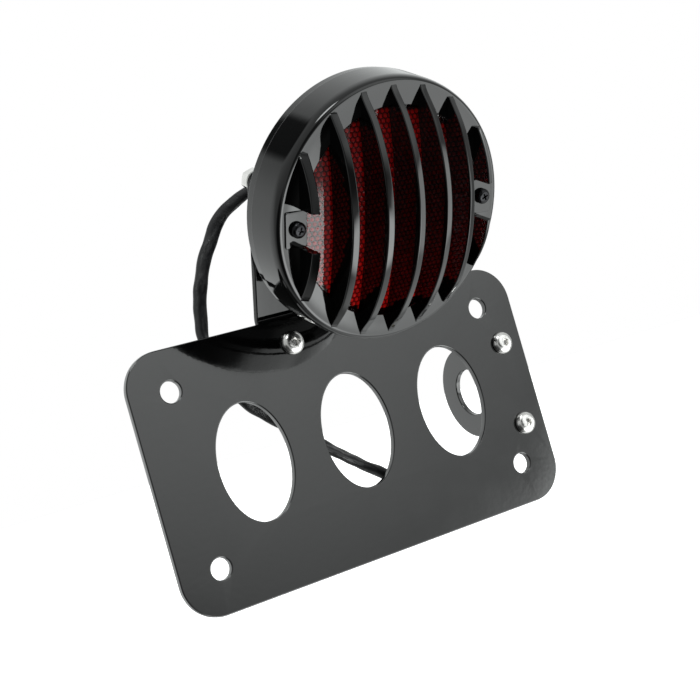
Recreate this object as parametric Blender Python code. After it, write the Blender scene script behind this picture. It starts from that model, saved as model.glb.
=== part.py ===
# Side-mount motorcycle tail light: number plate carrier, finned round LED lamp, bent arm with
# an axle eye and the lead.  Metres, +Z up; the lamp and the plate look towards -Y.
# Origin: centre of the axle eye on its outer (+X) face.
import math

import bmesh
import bpy
from mathutils import Matrix, Vector

for old in list(bpy.data.objects):
    bpy.data.objects.remove(old, do_unlink=True)

# ---------------------------------------------------------------- driving dimensions (mm)
MM = 0.001
GAP = 0.3                      # air left between pieces that touch
ROUND = 0.4                    # edge chamfer of sheet parts
SHARP = math.radians(32)       # edges turning more than this are shaded hard

PLATE_W, PLATE_H, PLATE_T, PLATE_R = 181.0, 102.0, 3.0, 15.0
PLATE_C = (0.1, -0.35)         # centre of the outline from the centre of the four holes
NUMBER_HOLES = (146.0, 68.5, 8.5)      # pitch across, pitch up, diameter
WINDOW_PITCH, WINDOW_A, WINDOW_B = 47.2, 15.75, 23.3

SHEET = 3.0                    # lamp bracket thickness
BRACKET_W = 56.8
BRACKET_FOOT = 29.0            # height of the foot of the bracket above the plate centre
BRACKET_BOLT = (18.0, 40.4)
BEND_Z, BEND_R = 51.25, 3.0
LAMP_TILT = math.radians(27.35)
LAMP_ROLL = math.radians(-1.6)  # the cover sits turned by this much on the housing
LAMP_C = (0.0, -66.04, 74.16)  # centre of the cover's front rim, plate axes
BRACKET_REACH = 9.5            # how far the bracket goes past the lamp axis

EYE_X, EYE_Y, EYE_Z = 90.0, 43.0, -0.8
EYE_R, EYE_HOLE = 21.0, 10.6
ARM_T, ARM_BEND_R, ARM_HALF, ARM_LEFT = 2.5, 1.5, 23.9, 71.0
ARM_BOLTS = ((80.0, 17.3), (80.0, -18.2))
ARM_MID_Z = -0.45

M5 = dict(shank=2.5, head=4.75, head_h=2.75, socket=3.1, socket_d=1.6, hole=2.8, nut=8.0, nut_h=4.7)
WASHER_R, WASHER_T = 5.0, 1.0

# lamp, in its own axes: u across, v up the face, w out of the face (0 = cover front rim)
COVER_R, COVER_R_BACK, SEAM_W = 48.6, 49.25, -15.6
FACE_W, FACE_R0, FACE_R1 = 0.8, 46.0, 47.5
THROAT_R, THROAT_W, UNDER_W = 39.8, -3.2, -6.1
SKIRT_R = 46.6
FIN_PITCH, FIN_T, FIN_EDGE = 12.63, 2.7, 0.45
DOME_H, DOME_RV, DOME_RU = 19.3, 65.1, 78.3
CUT_HALF = 6.9                 # the outer fins stop this far from the cover screws
SCREW_U, TAB_IN, TAB_HALF, TAB_W = 40.5, 36.3, 6.6, 1.0
LENS_TOP, LENS_RD, LENS_R, LENS_T = 3.4, 152.0, 38.7, 2.4
LENS_RIM_R, LENS_RIM_W, LENS_RIM_T = 46.2, -6.4, 2.5
HOUSE_R, HOUSE_W0, HOUSE_W1 = 48.8, -15.9, -19.65
HOUSE_BACK = -51.1
FLOOR_W = -46.5
STUD_U, STUD_V = 23.0, 3.0
GROMMET_HOLE, CORD_HOLE = 6.0, 4.8     # radii in the bracket and in the housing
BOARD_R, BOARD_W, BOARD_T = 36.2, -17.0, 1.6
POST_R = 30.0

SLEEVE_D, LEAD_D, BOARD_LEAD_D = 4.6, 1.7, 1.3
PLUG_X, LEAD_Y = 40.4, 12.0   # where the plugs start, and how far behind the plate's face they lie

# ---------------------------------------------------------------- frames


def axes(name, at, turn=(0.0, 0.0, 0.0), parent=None):
    """An empty that carries a set of axes; pieces hang on it in its own directions."""
    ob = bpy.data.objects.new(name, None)
    bpy.context.collection.objects.link(ob)
    ob.parent = parent
    ob.location = Vector(at) * MM
    ob.rotation_euler = turn
    return ob


# plate: x across, y back, z up, from the middle of the number-plate holes on the front face
PLATE = axes("plate_axes", (-EYE_X, -EYE_Y, -EYE_Z))
# front: x across, y up, z out of the plate's front face
FRONT = axes("front_axes", (0, 0, 0), (math.pi / 2, 0, 0), PLATE)
# lamp: x across, y up the face, z out along the lamp's axis; the cover is turned a little on it
LAMP = axes("lamp_axes", LAMP_C, (math.pi / 2 + LAMP_TILT, 0, 0), PLATE)
COVER = axes("cover_axes", (0, 0, 0), (0, 0, LAMP_ROLL), LAMP)
bpy.context.view_layer.update()

# ---------------------------------------------------------------- materials


def material(name, rgb, rough, metal=0.0, clear=0.0):
    m = bpy.data.materials.new(name)
    m.use_nodes = True
    b = m.node_tree.nodes["Principled BSDF"]
    b.inputs["Base Color"].default_value = (*rgb, 1)
    b.inputs["Roughness"].default_value = rough
    b.inputs["Metallic"].default_value = metal
    b.inputs["Transmission Weight"].default_value = clear
    m.diffuse_color = (*rgb, 1)
    return m


BLACK = material("black_paint", (0.012, 0.012, 0.013), 0.18)
BLACK_CAST = material("black_cover", (0.014, 0.014, 0.015), 0.2)
STEEL = material("stainless", (0.62, 0.61, 0.59), 0.22, 1.0)
ZINC = material("zinc_plate", (0.6, 0.6, 0.6), 0.35, 1.0)
RED = material("red_lens", (0.45, 0.004, 0.01), 0.1, clear=0.4)
RUBBER = material("black_rubber", (0.02, 0.02, 0.02), 0.7)
VINYL = material("black_vinyl", (0.03, 0.03, 0.032), 0.45)
BOARD = material("board_white", (0.6, 0.62, 0.6), 0.5)
LED = material("led_red", (0.6, 0.02, 0.02), 0.2)
CHIP = material("chip_black", (0.02, 0.02, 0.02), 0.4)
WIRE_RED = material("wire_red", (0.5, 0.01, 0.01), 0.45)
WIRE_WHITE = material("wire_white", (0.75, 0.75, 0.72), 0.45)
WIRE_BLACK = material("wire_black", (0.02, 0.02, 0.02), 0.45)
BRASS = material("tinned_brass", (0.75, 0.68, 0.5), 0.3, 1.0)

# ---------------------------------------------------------------- mesh helpers


def shade(bm):
    """Smooth faces, with the edges sharper than SHARP left hard."""
    for e in bm.edges:
        e.smooth = e.is_manifold and e.calc_face_angle(0) < SHARP
    for f in bm.faces:
        f.smooth = True


def place(name, data, parent, at=(0, 0, 0), turn=(0.0, 0.0, 0.0)):
    """Hang an object with this mesh or curve on a set of axes."""
    ob = bpy.data.objects.new(name, data)
    bpy.context.collection.objects.link(ob)
    ob.parent = parent
    ob.location = Vector(at) * MM
    ob.rotation_euler = turn
    return ob


def put(name, bm, parent, mat, at=(0, 0, 0), turn=(0.0, 0.0, 0.0)):
    """Make an object from a bmesh that was drawn in millimetres on the parent's axes."""
    bmesh.ops.recalc_face_normals(bm, faces=bm.faces[:])
    bm.transform(Matrix.Scale(MM, 4))
    shade(bm)
    mesh = bpy.data.meshes.new(name)
    bm.to_mesh(mesh)
    bm.free()
    mesh.materials.append(mat)
    return place(name, mesh, parent, at, turn)


def circle(r, cx=0.0, cy=0.0, n=40, b=None):
    b = r if b is None else b
    return [(cx + r * math.cos(2 * math.pi * i / n), cy + b * math.sin(2 * math.pi * i / n))
            for i in range(n)]


def rounded(w, h, r, cx=0.0, cy=0.0, n=6):
    pts = []
    for k, (sx, sy) in enumerate(((1, 1), (-1, 1), (-1, -1), (1, -1))):
        for i in range(n + 1):
            a = math.pi / 2 * (k + i / n)
            pts.append((cx + sx * (w / 2 - r) + r * math.cos(a), cy + sy * (h / 2 - r) + r * math.sin(a)))
    return pts


def hexagon(across_flats):
    return circle(across_flats / math.sqrt(3), n=6)


def hull(points):
    pts = sorted(set((round(x, 5), round(y, 5)) for x, y in points))

    def half(seq):
        out = []
        for p in seq:
            while len(out) > 1 and ((out[-1][0] - out[-2][0]) * (p[1] - out[-2][1])
                                    - (out[-1][1] - out[-2][1]) * (p[0] - out[-2][0])) <= 0:
                out.pop()
            out.append(p)
        return out[:-1]
    return half(pts) + half(pts[::-1])


def area(loop):
    return sum(a[0] * b[1] - b[0] * a[1] for a, b in zip(loop, loop[1:] + loop[:1])) / 2


def inset(loop, d):
    """Move a loop to its left by d (into the solid for outer loops run anticlockwise)."""
    if not d:
        return list(loop)
    out = []
    n = len(loop)
    for i in range(n):
        a, p, b = Vector(loop[i - 1]), Vector(loop[i]), Vector(loop[(i + 1) % n])
        e, f = (p - a).normalized(), (b - p).normalized()
        m = Vector((-e.y - f.y, e.x + f.x))
        m = m / m.length
        c = max(0.5, m.dot(Vector((-e.y, e.x))))
        q = p + m * (d / c)
        out.append((q.x, q.y))
    return out


def slab(outer, holes, z0, z1, edge=0.0, bm=None):
    """A flat solid with holes and chamfered edges between heights z0 and z1."""
    bm = bm or bmesh.new()
    loops = [outer if area(outer) > 0 else outer[::-1]]
    loops += [h if area(h) < 0 else h[::-1] for h in holes]
    levels = [(z0, 0.0), (z1, 0.0)] if not edge else [
        (z0, edge), (z0 + edge, 0.0), (z1 - edge, 0.0), (z1, edge)]
    first, last = [], []
    for loop in loops:
        rings = [[bm.verts.new((x, y, z)) for x, y in inset(loop, d)] for z, d in levels]
        n = len(loop)
        for lo, hi in zip(rings, rings[1:]):
            for i in range(n):
                bm.faces.new((lo[i], lo[(i + 1) % n], hi[(i + 1) % n], hi[i]))
        for ring, store in ((rings[0], first), (rings[-1], last)):
            store += [bm.edges.get((ring[i], ring[(i + 1) % n])) for i in range(n)]
    for edges in (first, last):
        bmesh.ops.triangle_fill(bm, use_beauty=True, use_dissolve=False, edges=edges)
    return bm


def lathe(profile, n=48):
    """Spin a closed (r, w) profile; points on the axis become poles."""
    bm = bmesh.new()
    rings = []
    for r, w in profile:
        if r < 1e-6:
            rings.append([bm.verts.new((0, 0, w))])
        else:
            rings.append([bm.verts.new((x, y, w)) for x, y in circle(r, n=n)])
    for a, b in zip(rings, rings[1:] + rings[:1]):
        if len(a) == 1 and len(b) == 1:
            continue
        for i in range(n):
            j = (i + 1) % n
            if len(a) == 1:
                bm.faces.new((a[0], b[j], b[i]))
            elif len(b) == 1:
                bm.faces.new((a[i], a[j], b[0]))
            else:
                bm.faces.new((a[i], a[j], b[j], b[i]))
    return bm


def screw(head_r, head_h, shank_r, length, recess, depth, n=16):
    """Domed screw with its head's underside at 0 and a shank down -z; a recess in the flat crown."""
    bm = bmesh.new()
    crown = head_r * 0.62
    prof = [(shank_r * 0.8, -length), (shank_r, shank_r * 0.3 - length), (shank_r, 0), (head_r - 0.15, 0),
            (head_r, 0.25 * head_h), (head_r * 0.93, 0.62 * head_h),
            (head_r * 0.8, 0.88 * head_h), (crown, head_h)]
    rings = [[bm.verts.new((x, y, w)) for x, y in circle(r, n=n)] for r, w in prof]
    for a, b in zip(rings, rings[1:]):
        for i in range(n):
            bm.faces.new((a[i], a[(i + 1) % n], b[(i + 1) % n], b[i]))
    bm.faces.new(rings[0][::-1])
    m = len(recess)
    lip = [bm.verts.new((x, y, head_h)) for x, y in recess]
    floor = [bm.verts.new((0.9 * x, 0.9 * y, head_h - depth)) for x, y in recess]
    for i in range(m):
        bm.faces.new((lip[i], lip[(i + 1) % m], floor[(i + 1) % m], floor[i]))
    bm.faces.new(floor)
    edges = [bm.edges.get((rings[-1][i], rings[-1][(i + 1) % n])) for i in range(n)]
    edges += [bm.edges.get((lip[i], lip[(i + 1) % m])) for i in range(m)]
    bmesh.ops.triangle_fill(bm, use_beauty=True, use_dissolve=False, edges=edges)
    return bm


def cross(reach, half):
    return [(half, half), (half, reach), (-half, reach), (-half, half), (-reach, half), (-reach, -half),
            (-half, -half), (-half, -reach), (half, -reach), (half, -half), (reach, -half), (reach, half)]


def boolean(ob, cutter, kind):
    """Apply an exact boolean and drop the cutter."""
    mod = ob.modifiers.new("cut", 'BOOLEAN')
    mod.operation = kind
    mod.solver = 'EXACT'
    mod.object = cutter
    bpy.context.view_layer.update()
    deps = bpy.context.evaluated_depsgraph_get()
    mesh = bpy.data.meshes.new_from_object(ob.evaluated_get(deps))
    ob.modifiers.clear()
    old_mesh, ob.data = ob.data, mesh
    mesh.name = ob.name
    bpy.data.meshes.remove(old_mesh)
    bpy.data.objects.remove(cutter, do_unlink=True)
    bm = bmesh.new()
    bm.from_mesh(mesh)
    bmesh.ops.remove_doubles(bm, verts=bm.verts[:], dist=2e-6)
    bmesh.ops.dissolve_degenerate(bm, edges=bm.edges[:], dist=2e-6)
    shade(bm)
    bm.to_mesh(mesh)
    bm.free()
    return ob


def bend(bm, s1, arc, place, cuts=4):
    """Slice a flat pattern across its bend and map every vertex through place(s)."""
    for i in range(cuts + 1):
        bmesh.ops.bisect_plane(bm, geom=bm.verts[:] + bm.edges[:] + bm.faces[:], dist=1e-5,
                               plane_co=(0, s1 + arc * i / cuts, 0), plane_no=(0, 1, 0))
    for v in bm.verts:
        v.co = Vector(place(*v.co))
    return bm


def smooth_route(points, step):
    """Catmull-Rom curve through the points, sampled about every `step`."""
    p = [Vector(q) for q in points]
    p = [2 * p[0] - p[1]] + p + [2 * p[-1] - p[-2]]
    fine = []
    for a, b, c, d in zip(p, p[1:], p[2:], p[3:]):
        for i in range(16):
            t = i / 16
            fine.append(0.5 * (2 * b + (c - a) * t + (2 * a - 5 * b + 4 * c - d) * t * t
                               + (3 * b - 3 * c + d - a) * t ** 3))
    fine.append(p[-2])
    length = [0.0]
    for a, b in zip(fine, fine[1:]):
        length.append(length[-1] + (b - a).length)
    count = max(2, round(length[-1] / step))
    out, k = [], 0
    for i in range(count + 1):
        want = length[-1] * i / count
        while k < len(length) - 2 and length[k + 1] < want:
            k += 1
        t = (want - length[k]) / max(1e-9, length[k + 1] - length[k])
        out.append(fine[k].lerp(fine[k + 1], t))
    return out


def cord(name, route, dia, mat, parent, step, res):
    """A round cord along a smooth curve through the route's points."""
    curve = bpy.data.curves.new(name, 'CURVE')
    curve.dimensions = '3D'
    curve.bevel_depth = dia / 2 * MM
    curve.bevel_resolution = res
    curve.use_fill_caps = True
    points = smooth_route(route, step)
    spline = curve.splines.new('POLY')
    spline.points.add(len(points) - 1)
    for point, co in zip(spline.points, points):
        point.co = (*(co * MM), 1)
    curve.materials.append(mat)
    return place(name, curve, parent)


# ---------------------------------------------------------------- number plate carrier
px, pz, pd = NUMBER_HOLES
corner_holes = [circle(pd / 2, sx * px / 2, sz * pz / 2, 16) for sx in (1, -1) for sz in (1, -1)]
windows = [circle(WINDOW_A, i * WINDOW_PITCH, 0, 36, WINDOW_B) for i in (-1, 0, 1)]
bracket_bolts = [(s * BRACKET_BOLT[0], BRACKET_BOLT[1]) for s in (-1, 1)]
bolt_holes = [circle(M5["hole"], x, z, 14) for x, z in bracket_bolts + list(ARM_BOLTS)]
put("plate_carrier", slab(rounded(PLATE_W, PLATE_H, PLATE_R, *PLATE_C, n=7),
                          corner_holes + windows + bolt_holes, -PLATE_T, 0, ROUND), FRONT, BLACK)

# ---------------------------------------------------------------- lamp bracket
bend_y = PLATE_T + GAP - BEND_R
bend_end = Vector((0, bend_y + BEND_R * math.cos(LAMP_TILT), BEND_Z + BEND_R * math.sin(LAMP_TILT)))
up_face = Vector((0, -math.sin(LAMP_TILT), math.cos(LAMP_TILT)))
v_end = (bend_end - Vector(LAMP_C)).dot(up_face)
BEND_ARC = (BEND_R + SHEET / 2) * LAMP_TILT
S1 = BEND_Z - BRACKET_FOOT
TOP_S = S1 + BEND_ARC + BRACKET_REACH - v_end


def bracket_place(x, s, t):
    if s <= S1:
        return x, PLATE_T + GAP + t, BRACKET_FOOT + s
    a = min(1.0, (s - S1) / BEND_ARC) * LAMP_TILT
    rest = max(0.0, s - S1 - BEND_ARC)
    return (x, bend_y + (BEND_R + t) * math.cos(a) - rest * math.sin(a),
            BEND_Z + (BEND_R + t) * math.sin(a) + rest * math.cos(a))


axis_s = S1 + BEND_ARC - v_end         # where the lamp axis crosses the flat pattern
outline = rounded(BRACKET_W, TOP_S, 8, 0, TOP_S / 2)
holes = [circle(M5["hole"], x, z - BRACKET_FOOT, 14) for x, z in bracket_bolts]
holes += [circle(M5["hole"], s * STUD_U, axis_s + STUD_V, 14) for s in (-1, 1)]
holes += [circle(GROMMET_HOLE, 0, axis_s, 20)]
flat = slab(outline, holes, 0, SHEET, ROUND)
put("lamp_bracket", bend(flat, S1, BEND_ARC, bracket_place, 3), PLATE, BLACK)

# ---------------------------------------------------------------- side arm with the axle eye
ARM_S1 = EYE_X - ARM_T - ARM_BEND_R - ARM_LEFT
ARM_ARC = (ARM_BEND_R + ARM_T / 2) * math.pi / 2
bend_c = (EYE_X - ARM_T - ARM_BEND_R, PLATE_T + GAP + ARM_T + ARM_BEND_R)
eye_s = ARM_S1 + ARM_ARC + EYE_Y - bend_c[1]


def arm_place(z, s, t):
    if s <= ARM_S1:
        return ARM_LEFT + s, PLATE_T + GAP + t, z
    a = min(1.0, (s - ARM_S1) / ARM_ARC) * math.pi / 2
    rest = max(0.0, s - ARM_S1 - ARM_ARC)
    r = ARM_BEND_R + ARM_T - t
    return bend_c[0] + r * math.sin(a), bend_c[1] - r * math.cos(a) + rest, z


flange_len = ARM_S1 + ARM_ARC + 3
outline = hull([p for p in rounded(2 * ARM_HALF, flange_len + 12, 6, ARM_MID_Z, flange_len / 2 + 6)
                if p[1] < flange_len]
               + [(ARM_MID_Z + s * ARM_HALF, flange_len) for s in (-1, 1)]
               + circle(EYE_R, EYE_Z, eye_s, 52))
holes = [circle(M5["hole"], z, x - ARM_LEFT, 14) for x, z in ARM_BOLTS]
holes.append(circle(EYE_HOLE, EYE_Z, eye_s, 36))
put("side_arm", bend(slab(outline, holes, 0, ARM_T, ROUND), ARM_S1, ARM_ARC, arm_place), PLATE, BLACK)

# ---------------------------------------------------------------- plate fasteners
def fastener_set(prefix, spots, stack):
    """Button head bolt from the front, washer and nut behind the stack of sheets, at each named spot."""
    washer_z = -(stack + GAP + WASHER_T)
    nut_z = washer_z - GAP - M5["nut_h"]
    bolt = screw(M5["head"], M5["head_h"], M5["shank"], 1.1 + GAP - nut_z,
                 hexagon(M5["socket"]), M5["socket_d"])
    washer = slab(circle(WASHER_R, n=20), [circle(M5["hole"], n=14)], 0, WASHER_T)
    nut = slab(hexagon(M5["nut"]), [circle(M5["hole"], n=14)], 0, M5["nut_h"], 0.3)
    for i, (side, at) in enumerate(spots):
        turn = (0, 0, 0.35 + 0.5 * i)
        put(f"{prefix}_bolt_{side}", bolt.copy(), FRONT, STEEL, (*at, GAP), turn)
        put(f"{prefix}_washer_{side}", washer.copy(), FRONT, ZINC, (*at, washer_z))
        put(f"{prefix}_nut_{side}", nut.copy(), FRONT, ZINC, (*at, nut_z), turn)


fastener_set("bracket", list(zip(("left", "right"), bracket_bolts)), PLATE_T + GAP + SHEET)
fastener_set("arm", list(zip(("upper", "lower"), ARM_BOLTS)), PLATE_T + GAP + ARM_T)

# ---------------------------------------------------------------- lamp housing
housing = put("lamp_housing", lathe([
    (HOUSE_R, HOUSE_W1), (HOUSE_R, HOUSE_W0), (46.0, HOUSE_W0), (46.0, -10.6), (42.4, -10.6),
    (42.4, -20.0), (39.2, -29.0), (32.8, -38.5), (26.2, -45.4), (24.5, FLOOR_W), (0, FLOOR_W),
    (0, HOUSE_BACK), (26.4, HOUSE_BACK), (27.6, -50.0), (35.0, -40.0), (41.6, -29.8), (45.0, HOUSE_W1),
]), LAMP, BLACK_CAST)
posts = bmesh.new()
for s in (-1, 1):
    slab(circle(3.3, s * SCREW_U, 0, 18), [], -26.5, -10.7, 0, posts)
boolean(housing, put("posts", posts, COVER, BLACK_CAST), 'UNION')
posts = bmesh.new()
post_spots = [(POST_R * math.cos(a), POST_R * math.sin(a))
              for a in (math.radians(90 + 120 * i) for i in range(3))]
for x, y in post_spots:
    slab(circle(3.0, x, y, 16), [], -43.0, BOARD_W - BOARD_T - GAP, 0, posts)
boolean(housing, put("posts", posts, LAMP, BLACK_CAST), 'UNION')
drill = bmesh.new()
for x, y in post_spots:
    slab(circle(1.6, x, y, 12), [], -28.0, -15.0, 0, drill)
for s in (-1, 1):
    slab(circle(M5["hole"], s * STUD_U, STUD_V, 14), [], HOUSE_BACK - 1, -47.6, 0, drill)
slab(circle(CORD_HOLE, n=16), [], HOUSE_BACK - 1, FLOOR_W + 1, 0, drill)
boolean(housing, put("drill", drill, LAMP, BLACK_CAST), 'DIFFERENCE')
drill = bmesh.new()
for s in (-1, 1):
    slab(circle(1.8, s * SCREW_U, 0, 12), [], -20.0, -9.0, 0, drill)
boolean(housing, put("drill", drill, COVER, BLACK_CAST), 'DIFFERENCE')

back_w = HOUSE_BACK - GAP - SHEET
washer_w = back_w - GAP - WASHER_T
nut_w = washer_w - GAP - M5["nut_h"]
for side, s in (("left", -1), ("right", 1)):
    at = (s * STUD_U, STUD_V)
    put(f"housing_stud_{side}", lathe([(0, back_w - 8.8), (2.1, back_w - 8.8), (2.5, back_w - 8.3),
                                       (2.5, -47.9), (0, -47.9)], 16), LAMP, ZINC, (*at, 0))
    put(f"stud_washer_{side}", slab(circle(WASHER_R, n=20), [circle(M5["hole"], n=14)], 0, WASHER_T),
        LAMP, ZINC, (*at, washer_w))
    put(f"stud_nut_{side}", slab(hexagon(M5["nut"]), [circle(M5["hole"], n=14)], 0, M5["nut_h"], 0.4),
        LAMP, STEEL, (*at, nut_w), (0, 0, 0.2 * s))

# ---------------------------------------------------------------- light source
put("led_board", slab(circle(BOARD_R, n=48), [circle(1.7, x, y, 12) for x, y in post_spots]
                      + [circle(3.4, 0, -6, 16)], BOARD_W - BOARD_T, BOARD_W), LAMP, BOARD)
for i, at in enumerate(post_spots):
    put(f"board_screw_{i + 1}", screw(2.6, 1.7, 1.3, 9.0, cross(1.1, 0.3), 0.8, 12),
        LAMP, ZINC, (*at, BOARD_W + GAP))
LED_RINGS = ((4, 9.5), (8, 21.5))       # number of LEDs, radius of their ring
LED_BODY = [(0, 0), (2.9, 0), (2.9, 1.0), (2.5, 1.0), (2.5, 3.7), (1.9, 5.4), (0, 6.3)]
ring_spots = [(r, 2 * math.pi * (i + 0.5) / count) for count, r in LED_RINGS for i in range(count)]
for i, (r, a) in enumerate(ring_spots):
    put(f"led_{i + 1:02d}", lathe(LED_BODY, 10), LAMP, LED, (r * math.cos(a), r * math.sin(a), BOARD_W + GAP))
for name, w, h, t, x, y in (("driver_chip", 5.0, 4.0, 1.6, 0.0, 1.0),
                            ("resistor_left", 3.2, 1.6, 0.9, -26.0, 13.0),
                            ("resistor_right", 3.2, 1.6, 0.9, 26.0, 13.0)):
    put(name, slab(rounded(w, h, 0.2, n=2), [], 0, t), LAMP, CHIP, (x, y, BOARD_W + GAP))

# ---------------------------------------------------------------- gasket and lens
put("lens_gasket", slab(circle(45.8, n=48), [circle(42.7, n=48)], -10.3, -9.2), LAMP, RUBBER)


def lens_w(r, top):
    return top - r * r / (2 * LENS_RD)


steps = [LENS_R * i / 5 for i in range(5)]
under = LENS_RIM_W - LENS_RIM_T
inner = LENS_R - LENS_T
profile = [(r, lens_w(r, LENS_TOP)) for r in steps] + [
    (LENS_R - 0.9, lens_w(LENS_R, LENS_TOP) + 0.1), (LENS_R - 0.25, lens_w(LENS_R, LENS_TOP) - 0.4),
    (LENS_R, lens_w(LENS_R, LENS_TOP) - 1.1), (LENS_R, LENS_RIM_W), (LENS_RIM_R, LENS_RIM_W),
    (LENS_RIM_R, under), (inner, under), (inner, lens_w(inner, LENS_TOP) - LENS_T - 0.4)]
profile += [(inner * i / 3, lens_w(inner * i / 3, LENS_TOP) - LENS_T) for i in (2, 1, 0)]
lens = put("lens", lathe(profile), COVER, RED)
drill = bmesh.new()
for s in (-1, 1):
    slab(circle(1.65, s * SCREW_U, 0, 12), [], under - 1, LENS_RIM_W + 1, 0, drill)
boolean(lens, put("drill", drill, COVER, RED), 'DIFFERENCE')

# ---------------------------------------------------------------- finned cover
cover = put("finned_cover", lathe([
    (COVER_R_BACK, SEAM_W), (COVER_R_BACK + 0.03, SEAM_W + 0.5), (COVER_R, -1.2), (COVER_R - 0.35, 0.0),
    (COVER_R - 0.95, 0.6), (FACE_R1 - 0.6, FACE_W), (FACE_R0, FACE_W), (THROAT_R + 0.4, THROAT_W + 0.2),
    (THROAT_R, THROAT_W - 0.3), (THROAT_R, UNDER_W), (SKIRT_R, UNDER_W), (SKIRT_R, SEAM_W)], 64),
    COVER, BLACK_CAST)


def fin_top(u, v):
    dome = DOME_H - u * u / (2 * DOME_RU) - (DOME_RV - math.sqrt(DOME_RV ** 2 - v * v))
    room = max(0.0, FACE_R0 + 0.3 - math.hypot(u, v))
    ramp = math.sqrt(min(1.0, room / 4.5) * (2 - min(1.0, room / 4.5)))
    return FACE_W - 0.25 + (dome - FACE_W) * (ramp if dome > FACE_W else 1.0)


def fin_foot(u, v):
    r = math.hypot(u, v)
    return lens_w(r, LENS_TOP) + 0.5 if r < LENS_R + 0.45 else UNDER_W + 1.6


for k in range(-3, 4):
    u0 = k * FIN_PITCH
    end = math.sqrt((FACE_R0 + 0.2) ** 2 - u0 * u0)
    near = max(0.0, abs(u0) - FIN_T / 2)       # the fin's flank nearest the lamp axis
    root = math.sqrt((LENS_R + 0.45) ** 2 - near * near)
    spans = [(-end, end)] if abs(k) < 3 else [(-end, -CUT_HALF), (CUT_HALF, end)]
    for v0, v1 in spans:
        n = 12 if abs(k) < 3 else 6
        fin = bmesh.new()
        stations = {v0 + (v1 - v0) * (1 - math.cos(math.pi * i / n)) / 2 for i in range(n + 1)}
        stations |= {s * (root + d) for s in (-1, 1) for d in (-0.02, 0.02) if v0 < s * (root + d) < v1}
        rings = []
        for v in sorted(stations):
            lo, hi = u0 - FIN_T / 2, u0 + FIN_T / 2
            foot = fin_foot(near, v)
            top = [(lo, fin_top(lo, v) - FIN_EDGE), (lo + FIN_EDGE, fin_top(lo + FIN_EDGE, v)),
                   (hi - FIN_EDGE, fin_top(hi - FIN_EDGE, v)), (hi, fin_top(hi, v) - FIN_EDGE)]
            section = [(lo, foot)] + [(x, max(w, foot + 0.3)) for x, w in top] + [(hi, foot)]
            rings.append([fin.verts.new((x, v, w)) for x, w in section])
        for a, b in zip(rings, rings[1:]):
            for i in range(6):
                fin.faces.new((a[i], a[(i + 1) % 6], b[(i + 1) % 6], b[i]))
        fin.faces.new(rings[0])
        fin.faces.new(rings[-1][::-1])
        boolean(cover, put("fin", fin, COVER, BLACK_CAST), 'UNION')
for s in (-1, 1):
    tab = slab(rounded(45.2 - TAB_IN, 2 * TAB_HALF, 0.8, s * (TAB_IN + 45.2) / 2, 0, 3), [], -0.2, TAB_W)
    boolean(cover, put("tab", tab, COVER, BLACK_CAST), 'UNION')
drill = bmesh.new()
for s in (-1, 1):
    slab(circle(1.8, s * SCREW_U, 0, 14), [], UNDER_W - 1, TAB_W + 1, 0, drill)
boolean(cover, put("drill", drill, COVER, BLACK_CAST), 'DIFFERENCE')
for side, s in (("left", -1), ("right", 1)):
    put(f"cover_screw_{side}", screw(2.9, 2.0, 1.5, 17.3, cross(1.35, 0.34), 1.1), COVER, BLACK_CAST,
        (s * SCREW_U, 0, TAB_W + GAP))

# ---------------------------------------------------------------- lead
put("cable_grommet", lathe([(2.6, -57.4), (6.2, -57.4), (6.8, -56.8), (6.8, -54.9), (4.4, -54.9),
                            (4.4, -46.1), (2.6, -46.1)], 24), LAMP, RUBBER)
to_plate = PLATE.matrix_world.inverted() @ LAMP.matrix_world
out = [tuple(to_plate @ (Vector((0, 0, w)) * MM) / MM) for w in (-48.0, -53.0, -58.0)]
SLEEVE = out + [(-2.6, -8.8, 103.6), (-9.4, -4.6, 104.9), (-16.4, -2.6, 103.4), (-23.5, 3.0, 99.9),
                (-28.2, 7.0, 96.9), (-31.8, 9.5, 92.7), (-35.5, 11.0, 86.7), (-38.9, 12.0, 81.2),
                (-43.8, 13.0, 70.1), (-47.3, 13.0, 57.9), (-48.0, 13.0, 46.0), (-44.5, 12.8, 33.5),
                (-37.3, 12.5, 22.0), (-28.1, 12.5, 13.2), (-19.0, 12.5, 5.2), (-8.7, 12.5, -3.9),
                (3.7, 12.5, -13.7), (14.6, 12.5, -22.0)]
cord("lead_sleeve", SLEEVE, SLEEVE_D, VINYL, PLATE, 2 * SLEEVE_D, 4)
tail = Vector(SLEEVE[-1])
run = Vector((0.795, 0, -0.607))        # the sleeve's direction at its end
across = Vector((0.607, 0, 0.795))
PLUG = [(0, 0), (1.5, 0), (1.8, 0.4), (1.8, 6.6), (1.3, 7.0), (1.3, 7.8), (2.0, 8.2), (2.0, 13.1),
        (1.4, 15.2), (0, 15.8)]
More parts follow.
